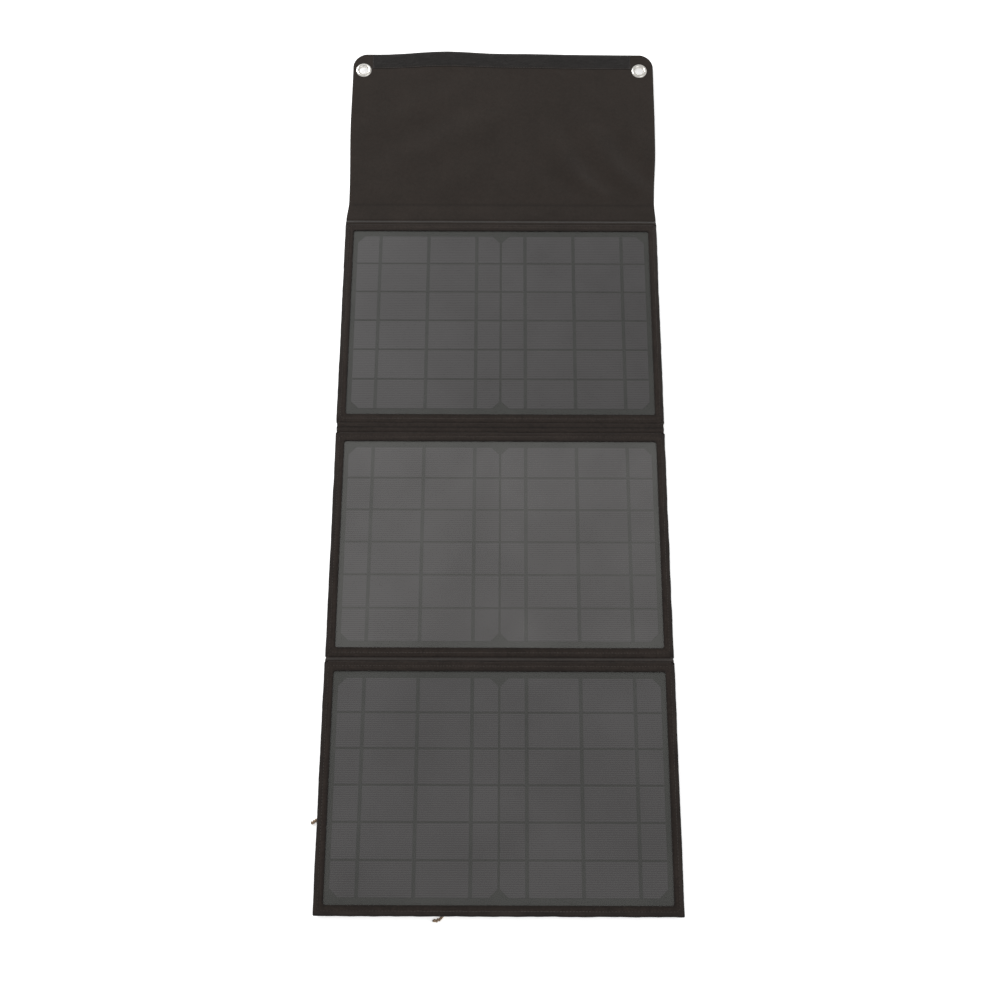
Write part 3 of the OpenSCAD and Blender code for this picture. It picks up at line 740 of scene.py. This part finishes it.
def make_face_cloth(panel, seed):
    """Front cloth: a frame of cloth round the window, turned under at the window's edge."""
    side = 3.4
    low_end = side if panel.free_low else 0.15
    high_end = CREASE_IN if panel.name == "top" else 0.15
    outer = box_path(panel.low + (side, low_end), panel.high - (side, high_end), 0.8, *RIM_COUNTS)
    inner = box_path(panel.window_low, panel.window_high, 2.5, *RIM_COUNTS)
    reach = np.linalg.norm(inner - outer, axis=1)[:, None]
    factor = end_factor(panel, outer)[:, None]
    at_end = 1 - factor
    steps = np.concatenate([
        np.broadcast_to([[0, 0.25, 0.7, 1.5]], (len(outer), 4)),
        1.5 + (reach - 3.9) * np.array([[0.12, 0.26, 0.42, 0.58, 0.74, 0.9]]),
        reach - np.array([[2.4, 1.6, 1.0, 0.55, 0.2, 0.0]])], 1)
    t = panel.t
    noise = ripple(outer[:, 0], outer[:, 1], seed, 9, 16, 80)[:, None]
    crown = np.sin(pi * np.clip(steps / reach, 0, 1)) * (0.12 + 0.04 * noise)
    groove = -0.30 * bell(reach - steps - SEAM_OUT, 0.7)
    height = t + crown + groove
    height -= factor * 0.14 * (1 - smooth(steps, 0.3, 1.6))
    height -= at_end * 0.62 * (1 - rounding(steps, 1.3))
    height -= 0.70 * (1 - rounding(reach - steps, 0.55))
    height += 0.05 * bell(reach - steps - 1.1, 0.8)
    under = np.full_like(height, panel.film - panel.z0 + 0.04)
    flat = outer[:, None] + (inner - outer)[:, None] * (steps / reach)[..., None]
    jitter = 0.2 * noise * at_end * (1 - smooth(steps, 0, 3))
    flat[..., 1] += jitter * np.sign(outer[:, 1] - (panel.y0 + panel.y1) / 2)[:, None]
    z = np.concatenate([height, under[:, ::-1]], 1)[..., None] + panel.z0
    rings = np.concatenate([np.concatenate([flat, flat[:, ::-1]], 1), z], -1)
    # Painted shade in a band beside the window's turned-under edge and a painted highlight band about 4.6 mm
    # out from it, with a little random tone.
    near = np.clip(reach - steps, 0, 20)
    light = 1.0 - 0.30 * bell(near, 2.6) + 0.16 * bell(near - 4.6, 1.6) + 0.05 * noise
    shade = np.concatenate([light, light[:, ::-1]], 1)
    cloth = piece(panel.name + "_face_cloth", rings[:, ::-1], sweep(rings, True), "cloth",
                  panel.body, shade[:, ::-1])
    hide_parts(panel.name + "_front_cloth")


def make_stitches(panel, seed):
    """The row of stitches that closes the cloth round the board."""
    path = box_path(panel.window_low - SEAM_OUT, panel.window_high + SEAM_OUT, 4.0, (300, 300), 8)
    step = np.linalg.norm(np.roll(path, -1, 0) - path, axis=1)
    run = np.concatenate([[0], np.cumsum(step)])
    closed = np.vstack([path, path[:1]])
    pitch = 3.0
    count = int(run[-1] / pitch)
    rng = np.random.default_rng(seed)
    where = (np.arange(count) + 0.5) * run[-1] / count
    places = on_line(where, run, closed)
    ahead = on_line(where + 0.5, run, closed) - places
    turns = np.arctan2(ahead[:, 1], ahead[:, 0]) + rng.normal(0, 0.05, count)
    places += rng.normal(0, 0.06, places.shape)
    heights = np.full(count, panel.top - 0.08) + rng.normal(0, 0.015, count)
    points, faces = stitch_row(places, turns, heights, 2.2, 0.24)
    piece(panel.name + "_stitches", points, faces, "thread", panel.body)


def make_back_cloth(panel, seed):
    """Back cloth, laid on the board, with the soft unevenness of cloth glued and sewn at its edges."""
    low, high = box(panel.name + "_back_cloth")
    hole_x, hole_y = (), ()
    if panel.name == "bottom":
        base_low, base_high = box("regulator_base")
        gap = 0.3
        hole_x = (base_low[0] - gap, base_high[0] + gap)
        hole_y = (base_low[1] - gap, base_high[1] + gap)
    xs, ys, x, y = grid(low, high, 6, (0.3, 1.0, 2.0), hole_x, hole_y)
    keep = None
    if hole_x:
        mx, my = (xs[1:] + xs[:-1]) / 2, (ys[1:] + ys[:-1]) / 2
        inside_x = (mx > hole_x[0]) & (mx < hole_x[1])
        inside_y = (my > hole_y[0]) & (my < hole_y[1])
        keep = ~(inside_y[:, None] & inside_x[None, :])
    rim = rim_distance(x, y, low, high)
    sag = 0.10 + 0.10 * ripple(x, y, seed, 9, 25, 90)
    quilt = 0.18 * bell(rim - 5.0, 0.8)
    under = low[2] - sag * smooth(rim, 0, 4) + quilt
    upper = np.full_like(under, high[2] - 0.02)
    light = 1.0 - 0.12 * bell(rim - 5.0, 1.4)
    cloth = sheet_piece(panel.name + "_rear_cloth", level(x, y, upper), level(x, y, under), "cloth",
                        panel.body, light, keep)
    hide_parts(panel.name + "_back_cloth")


def make_laminate(panel, seed):
    """Clear laminate front: a thin sheet with the slight waviness of a pressed foil."""
    low, high = box(panel.name + "_film")
    _, _, x, y = grid(low, high, 4, (0.2, 0.6, 1.4))
    rim = rim_distance(x, y, low, high)
    upper = high[2] - 0.05 + 0.03 * ripple(x, y, seed, 9, 40, 150) * smooth(rim, 1, 12)
    under = np.full_like(upper, low[2] - 0.06)
    look = "film" if panel.name == "bottom" else "film_" + panel.name
    sheet = sheet_piece(panel.name + "_laminate", level(x, y, upper), level(x, y, under), look,
                        panel.body)
    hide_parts(panel.name + "_film")


# ---- hinges
def make_hinge_half(name, y0, y1, z_at, seed, replaced=()):
    """A strip of hinge cloth between two lines, whose upper face follows z_at(x, y)."""
    x0, x1 = middle.x0 + 0.9, middle.x1 - 0.9
    xs = edges(x0, x1, 3.0)
    ys = np.linspace(y0, y1, max(8, int((y1 - y0) / 0.45)) + 1)
    x, y = np.meshgrid(xs, ys)
    side = np.minimum(x - x0, x1 - x)
    upper = z_at(x, y) - 0.5 * (1 - rounding(side, 0.9))
    in_out = 0.35 * ripple(y * 3, y * 0, seed, 4, 12, 40) * np.sign(x) * (side < 6)
    x = x + in_out
    under = z_at(x, y) - 0.56
    # Painted shadow along the strip's ends, strongest at the y0 end, with a painted highlight and painted
    # shade along its sides; a little random tone.
    near = np.minimum(np.abs(y - y0), np.abs(y - y1))
    shadow = 0.55 * (np.abs(y - y0) < np.abs(y - y1)) + 0.15
    light = (0.96 + 0.06 * ripple(x, y, seed + 5, 6, 9, 40) - shadow * bell(near, 0.9)
             + 0.2 * bell(side - 1.8, 0.9) - 0.3 * bell(side, 0.7))
    cloth = sheet_piece(name, level(x, y, upper), level(x, y, under), "cloth", light=light)
    if replaced:
        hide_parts(*replaced)
    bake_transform(cloth)


def make_hinges():
    """The upper hinge's strip, in two halves, one by each of its two folds, and the lower hinge's one crease.
    """
    z = middle.top
    low_line, high_line = middle.y1 - HINGE_TUCK, top.y0 + HINGE_TUCK
    half = (low_line + high_line) / 2

    def strip_top(x, y):
        valley = -0.85 * bell(y - low_line, 1.0) - 0.85 * bell(y - high_line, 1.0)
        ridge = 0.22 * bell(y - low_line - 3.2, 0.8)
        tuck_line = y - (low_line + 4.0 + 5.5 * np.clip((-x - 120) / 50, 0, 1))
        crease = 0.25 * bell(tuck_line, 0.7) * smooth(-x, 90, 130)
        waves = 0.10 * ripple(x, y, 31, 8, 10, 60)
        return z - 0.10 + valley + ridge + crease + waves

    make_hinge_half("upper_hinge_cloth_a", low_line, half, strip_top,
                    41, ("hinge_strip",))
    make_hinge_half("upper_hinge_cloth_b", half, high_line, strip_top,
                    43)

    y_low, y_high = bottom.y1 - HINGE_TUCK, middle.y0 + HINGE_TUCK
    rise = bottom.top - middle.top

    def crease_top(x, y):
        part = (y_high - y) / (y_high - y_low)
        base = z - 0.10 + rise * smooth(part, 0.16, 0.86)
        valley = -0.85 * bell(y - y_high, 1.0) - 0.85 * bell(y - y_low, 0.9)
        fold = 0.18 * bell(part - 0.5, 0.08)
        return base + valley + fold + 0.10 * ripple(x, y, 37, 8, 9, 60)

    make_hinge_half("lower_hinge_cloth", y_low, y_high, crease_top,
                    47, ("crease_middle", "crease_bottom"))


# ---- flap
EYELET_LOW, EYELET_HIGH = box("eyelet_washers")
EYELET_X = EYELET_HIGH[0] - 9.0
COVER_L = (box("hook_strip")[1][1] - COVER_Y) / cos(FLAP_LIFT) + HOOK_EDGE
EYELET_V = ((EYELET_LOW[1] + EYELET_HIGH[1]) / 2 - COVER_Y) / cos(FLAP_LIFT)
HALF_W = middle.x1


def flap_bow(x):
    """How far the flap's free end bows out beyond its cut line."""
    peak = 3.9 * bell(x + 60, 48) + 0.8 * bell(x - 30, 50)
    return peak + 0.35 * np.sin(x / 17.0) * bell(x - 40, 90)


def bowed(x, v):
    """Where a straight line across the flap at v lies, once its free end bows out."""
    return v + flap_bow(x) * smooth(v, COVER_L - 70, COVER_L - 2) * smooth(HALF_W - np.abs(x), 4, 60)


def flap_half_width(v, sign):
    """The flap's half width at v along it: a little narrower than the panel at the spine."""
    waist = (1.3 if sign > 0 else 2.3) * (1 - smooth(v, 10, 120)) * smooth(v, -22, 3)
    root = 0.3 * (1 - smooth(v, -27, -18))
    out = 2.9 * smooth(v, -10, 75) * (sign > 0) - 0.8 * smooth(v, 60, 170) * (sign < 0)
    return HALF_W - waist - root + out


def flap_height(x, v):
    """Soft folds of the flap's cloth, in its own plane; it lies flat at the eyelets and at its folds."""
    calm = smooth(v, 2, 30)
    for sign in (-1, 1):
        far = np.sqrt((x - sign * EYELET_X) ** 2 + (v - EYELET_V) ** 2)
        calm = calm * smooth(far, 10, 42)
    broad = 0.5 * ripple(x, v, 53, 7, 70, 190)
    slant = x * 0.78 + v * 0.62
    fold = np.sin(2 * pi * slant / 41 + 0.8 * np.sin(v / 23))
    fold = fold * bell(x - 112, 62) * bell(v - 46, 52)
    other = np.sin(2 * pi * (x * 0.5 - v * 0.86) / 57) * bell(x + 70, 80) * bell(v - 95, 50)
    edge = 0.9 * bell(v - COVER_L, 22) * (bell(x + 62, 50) + 0.45 * bell(x - 60, 50))
    fine = 0.10 * ripple(x, v, 59, 8, 9, 30)
    height = calm * (broad + 2.1 * fold + 0.8 * other + edge + fine)
    return np.maximum(height, -0.85 * np.maximum(v, 0) * sin(FLAP_LIFT))


def on_flap(x, v, z):
    """Points of the open flap in the row frame, from its own x, length and height."""
    y = COVER_Y + v * cos(FLAP_LIFT) - (z - FOLD_Z) * sin(FLAP_LIFT)
    up = FOLD_Z + v * sin(FLAP_LIFT) + (z - FOLD_Z) * cos(FLAP_LIFT)
    flat_part = smooth(v, -2.0, 2.0)
    y = np.where(v < 2, (COVER_Y + v) * (1 - flat_part) + y * flat_part, y)
    up = np.where(v < 2, z * (1 - flat_part) + up * flat_part, up)
    return np.stack([x, y, up], -1)


def cover_grid(vs, extra_x=()):
    """Places over the flap: x, bowed length, distance from the nearer side and plain length."""
    base = edges(-HALF_W, HALF_W, 3.2, (0.15, 0.5, 1.1, 2.0), extra_x) / HALF_W
    s, v = np.meshgrid(base, vs)
    half = np.where(s < 0, flap_half_width(v, -1), flap_half_width(v, 1))
    over = np.clip(v - (COVER_L - FLAP_CORNER_R), 0, FLAP_CORNER_R)
    half = half - (FLAP_CORNER_R - np.sqrt(np.clip(FLAP_CORNER_R ** 2 - over ** 2, 0, None)))
    x = s * half
    side = (1 - np.abs(s)) * half
    return x, bowed(x, v), side, v


def make_flap_cover():
    """The flap's cloth from the middle of its spine to its free end, with a hole at each eyelet."""
    start = MID_SPINE - COVER_Y
    ring = np.arange(-9, 9.1, 1.0)
    xs = tuple(sign * (EYELET_X + r) for sign in (-1, 1) for r in ring)
    corner = COVER_L - FLAP_CORNER_R + FLAP_CORNER_R * np.sin(np.radians(np.arange(6, 91, 6)))
    vs = edges(start, COVER_L, 3.4, (0.12, 0.35, 0.8, 1.5), (*(EYELET_V + ring), *corner, -1, 0, 1, 2, 3))
    x, v, side, plain = cover_grid(vs, xs)
    lift = flap_height(x, v)
    rim = np.minimum(side, COVER_L - plain)
    round_off = 0.55 * (1 - rounding(rim, 0.8))
    hem = 0.20 * bell(rim - 1.6, 0.9) - 0.16 * bell(rim - 3.4, 0.6)
    hem = hem * smooth(plain, 4, 12)
    upper = on_flap(x, v, FLAP_T + lift - round_off + hem)
    under = on_flap(x, v, 0.0 + lift + round_off)
    far = np.minimum(np.hypot(x - EYELET_X, v - EYELET_V), np.hypot(x + EYELET_X, v - EYELET_V))
    centre = (far[:-1, :-1] + far[1:, 1:] + far[:-1, 1:] + far[1:, :-1]) / 4
    hole_r = 7.1
    # Painted shade along the rim with a painted highlight on the hem just inside it, painted shade at the
    # outer fold and a faint ring of painted shade round each eyelet; a little random tone.
    light = (1.0 - 0.38 * bell(rim, 0.9) + 0.18 * bell(rim - 1.9, 0.7)
             + 0.04 * ripple(x, v, 61, 8, 20, 90) - 0.25 * bell(v + 1.0, 1.6) * (plain < 8)
             - 0.10 * bell(far - 9.5, 2.0))
    cloth = sheet_piece("flap_cover_cloth", upper, under, "flap", light=light, keep=centre > hole_r)
    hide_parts("flap_front_cloth", "flap_back_cloth")
    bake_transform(cloth)


def make_flap_root():
    """The flap's hem and half its spine: the cloth steps down from the panel's face to the flap."""
    start, finish = top.y1 - CREASE_IN - COVER_Y, MID_SPINE - COVER_Y
    vs = np.concatenate([np.linspace(start, start + 7, 18), np.linspace(start + 7.5, finish, 14)])
    x, v, side, _ = cover_grid(vs)
    part = (v - start) / (CREASE_IN + 5.6)
    fold = SPINE_Y - COVER_Y
    drop = top.t - 0.34 - FLAP_T
    upper_z = FLAP_T + drop * (1 - smooth(part, 0.29, 1.0)) + 0.10 * ripple(x, v, 67, 8, 12, 60)
    upper_z -= 0.28 * bell(v - start - 0.5, 0.7)
    upper_z -= 0.22 * bell(v - fold, 1.0)
    join = smooth(v, finish - 3, finish)
    upper_z = upper_z * (1 - join) + FLAP_T * join
    round_off = 0.55 * (1 - rounding(side, 0.8))
    past = smooth(v, start + CREASE_IN + 0.4, start + CREASE_IN + 2.4)
    under_z = (upper_z - 0.9) * (1 - past) + 0.05 * past * (1 - smooth(v, finish - 6, finish)) + round_off
    upper = level(x, COVER_Y + v, upper_z - round_off)
    under = level(x, COVER_Y + v, under_z)
    # Painted shade along the sides with a painted highlight on the hem inside them, painted shade at the
    # crease over the top panel's end, on the slope down to the flap and at the spine's fold; a little random
    # tone.
    light = (0.97 - 0.38 * bell(side, 0.9) + 0.16 * bell(side - 1.9, 0.7)
             - 0.22 * bell(v - start, 0.9) - 0.26 * bell(v - start - 4.6, 2.0)
             - 0.12 * bell(v - fold, 1.4) + 0.05 * ripple(x, v, 71, 8, 14, 60))
    cloth = sheet_piece("flap_root_cloth", upper, under, "flap", light=light)
    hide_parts("flap_hem", "flap_spine")
    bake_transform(cloth)


def make_hook_tape():
    """Fastening tape along the flap's end: a nap between two plain selvedges, sewn down."""
    low, high = box("hook_strip")
    x0, x1 = low[0], high[0]
    v1 = COVER_L - HOOK_EDGE
    v0 = v1 - (high[1] - low[1]) / cos(FLAP_LIFT)
    xs = edges(x0, x1, 1.6, (0.15, 0.5, 1.0))
    vs = edges(v0, v1, 1.0, (0.12, 0.35, 0.8))
    x, plain = np.meshgrid(xs, vs)
    v = bowed(x, plain)
    rng = np.random.default_rng(83)
    rim = rim_distance(x, plain, (x0, v0), (x1, v1))
    nap = smooth(rim, 1.2, 1.9)
    base = flap_height(x, v) + FLAP_T
    fibres = 0.10 * rng.normal(0, 1, x.shape).clip(-1.6, 1.6)
    upper_z = base + 0.36 * rounding(rim, 0.4) + nap * (0.26 + fibres)
    upper_z += 0.12 * bell(rim - 0.7, 0.4)
    # The lower selvedge is painted much lighter: a painted sheen.
    selvedge_sheen = (1 - nap) * smooth(rim, 0.1, 0.5) * (plain < v0 + 4)
    light = 1.0 + 0.9 * selvedge_sheen + 0.05 * rng.normal(0, 1, x.shape)
    tape = sheet_piece("hook_tape", on_flap(x, v, upper_z), on_flap(x, v, base - 0.25), "pile",
                       "flap_cover", light)
    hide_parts("hook_strip")
    make_tape_stitches(x0, x1, v0, v1)


def make_tape_stitches(x0, x1, v0, v1):
    """Two rows of stitches, along the fastening tape's two selvedges."""
    rng = np.random.default_rng(89)
    pitch = 3.2
    xs = np.arange(x0 + 2, x1 - 1, pitch)
    places, heights, turns = [], [], []
    for line in (v0 + 0.75, v1 - 0.75):
        vs = bowed(xs, line)
        spots = on_flap(xs, vs, flap_height(xs, vs) + FLAP_T + 0.42)
        places += spots[:, :2].tolist()
        heights += spots[:, 2].tolist()
        turns += rng.normal(0, 0.05, len(xs)).tolist()
    points, faces = stitch_row(places, turns, heights, 2.3, 0.22)
    piece("hook_tape_stitches", points, faces, "thread", "flap_cover")


def make_loop_tape():
    """The loop tape on the middle panel's back, with its nap facing down."""
    low, high = box("loop_strip")
    xs = edges(low[0], high[0], 2.0, (0.15, 0.5, 1.0))
    ys = edges(low[1], high[1], 1.6, (0.15, 0.5, 1.0))
    x, y = np.meshgrid(xs, ys)
    rng = np.random.default_rng(97)
    rim = rim_distance(x, y, low, high)
    nap = smooth(rim, 1.2, 1.9)
    under = high[2] - 0.35 - 0.35 * nap + 0.06 * nap * rng.normal(0, 1, x.shape).clip(-1.5, 1.5)
    upper = np.full_like(under, high[2] - 0.01)
    # The border round the nap is painted lighter: a painted sheen on the selvedges.
    light = 1.0 + 0.5 * (1 - nap) + 0.05 * rng.normal(0, 1, x.shape)
    tape = sheet_piece("loop_tape", level(x, y, upper), level(x, y, under), "pile", "middle_panel",
                       light)
    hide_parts("loop_strip")


# ---- rear pocket and zip
def make_pocket():
    """Rear pocket: soft cloth sewn down round its edge, hanging slack except over the regulator box."""
    low, high = box("pocket_cloth")
    box_low, box_high = box("regulator_base")
    flange = 3.0
    x0, x1, y0, y1 = low[0] - flange, high[0] + flange, low[1] - flange, high[1] + flange
    _, _, x, y = grid((x0, y0), (x1, y1), 3.4, (0.2, 0.8, 1.6, 2.4))
    rim = rim_distance(x, y, (x0, y0), (x1, y1))
    seam = high[2] - 0.75
    far_x = np.maximum(np.maximum(box_low[0] - x, x - box_high[0]), 0)
    far_y = np.maximum(np.maximum(box_low[1] - y, y - box_high[1]), 0)
    over_box = 1 - smooth(np.hypot(far_x, far_y), 0, 26)
    slack = 1.5 + 0.55 * ripple(x, y, 101, 9, 28, 110)
    floor_z = slack * (1 - over_box) + 0.06 * over_box
    fall = smooth(rim, 3.0, 15.0)
    under = seam * (1 - fall) + np.minimum(floor_z, seam) * fall
    under = np.maximum(under, 0.05)
    light = 1.0 - 0.25 * bell(rim - 2.4, 0.8) + 0.05 * ripple(x, y, 103, 8, 20, 80)
    bag = sheet_piece("rear_pocket", level(x, y, under + 0.6), level(x, y, under), "flap",
                      "bottom_panel", light)
    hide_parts("pocket_cloth")


def zip_line():
    """The zip's middle line: down the side, round the corner and along the end."""
    low, high = box("zip_teeth")
    x, y = low[0] + 2.0, low[1] + 2.0
    return x, y, high[0], high[1]


def make_zip_tape():
    """The zip's tape: an L of ribbed tape along one side and one end."""
    low, high = box("zip_tape")
    x, y, _, _ = zip_line()
    width = 2 * (x - low[0])
    xs, ys, gx, gy = grid(low, high, 4, (0.2, 0.6, 1.2), (low[0] + width,), (low[1] + width,))
    mx, my = (xs[1:] + xs[:-1]) / 2, (ys[1:] + ys[:-1]) / 2
    keep = (mx[None, :] < low[0] + width) | (my[:, None] < low[1] + width)
    off = np.minimum(np.abs(gx - x) + 99 * (gy < y), np.abs(gy - y) + 99 * (gx < x))
    under = low[2] + 0.05 + 0.04 * np.sin(gx * 1.3) * np.sin(gy * 1.1)
    upper = np.full_like(under, high[2] - 0.01)
    light = np.clip(1.0 - 0.25 * bell(off - 3, 1.2), 0.6, 1.2)
    tape = sheet_piece("zip_tape_cloth", level(gx, gy, upper), level(gx, gy, under), "trim",
                       "bottom_panel", light, keep)
    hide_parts("zip_tape")


def make_zip_teeth():
    """Closed coil: short loops across the zip's line, each dipped where the two rows lock."""
    x, y, x_end, y_end = zip_line()
    low, high = box("zip_teeth")
    pitch = 1.35
    down, across = np.arange(y + 2.6, y_end - 0.6, pitch), np.arange(x + 2.6, x_end - 0.6, pitch)
    places = [(x, place) for place in down] + [(place, y) for place in across]
    turns = [0.0] * len(down) + [pi / 2] * len(across)
    for turn in np.radians([15, 45, 75]):
        places.append((x + 0.5 * (1 - cos(turn)), y + 0.5 * (1 - sin(turn))))
        turns.append(pi / 2 - turn)
    along = np.array([-1.0, -0.9, -0.55, -0.18, 0.0, 0.18, 0.55, 0.9, 1.0]) * 1.95
    size = np.array([0.25, 0.42, 0.46, 0.44, 0.30, 0.44, 0.46, 0.42, 0.25])
    heights = [(low[2] + high[2]) / 2] * len(places)
    points, faces = ring_row(places, turns, heights, along, size, np.zeros(len(along)), 8, 1.15)
    coil = piece("zip_coil", points, faces, "zip", "bottom_panel")
    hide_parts("zip_teeth")


# ---- finishes of the rigid parts
CELL_ROWS = 6
CELL_GAP = 1.9
PANEL_FINISHES = {"backsheet": "backing", "ribbons": "ribbon", "board": "board", "junction": "moulding"}
FINISHES = {
    "lead": ("top_lead", "strip_lead", "middle_lead", "bottom_lead"),
    "nickel": ("eyelet_barrels", "eyelet_washers"),
    "slider": ("side_slider", "end_slider"),
    "moulding": ("regulator_base", "regulator_lid"),
    "plated": ("regulator_screws", "usb_a_socket", "usb_c_socket"),
    "circuit": ("circuit_board",),
    "lens": ("status_lens",),
}


def assign(node, material):
    materials = frame["nodes"][node].data.materials
    materials.clear()
    materials.append(material)


def finish_rigid_parts():
    """The looks of the CAD nodes that are shown as they are."""
    gap = CELL_GAP * MM
    for panel in panels.values():
        low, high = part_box(panel.name + "_cells")
        column_pitch = (high[0] - low[0]) / 2
        row_pitch = (high[1] - low[1] + gap) / CELL_ROWS
        cells = cell_look(panel.name + "_cell_look", column_pitch, row_pitch, low[1] - gap / 2)
        assign(panel.name + "_cells", cells)
        for part, look in PANEL_FINISHES.items():
            assign(panel.name + "_" + part, looks[look])
    for look, nodes in FINISHES.items():
        for node in nodes:
            assign(node, looks[look])


# ---- the scene
make_camera()
make_cord("side")
make_cord("end")
make_light()
make_floor()
for number, each in enumerate(panels.values()):
    make_edge_tape(each, 11 + number)
    make_face_cloth(each, 21 + number)
    make_stitches(each, 51 + number)
    make_back_cloth(each, 71 + number)
    make_laminate(each, 91 + number)
make_hinges()
make_flap_root()
make_flap_cover()
make_hook_tape()
make_loop_tape()
make_pocket()
make_zip_tape()
make_zip_teeth()
finish_rigid_parts()
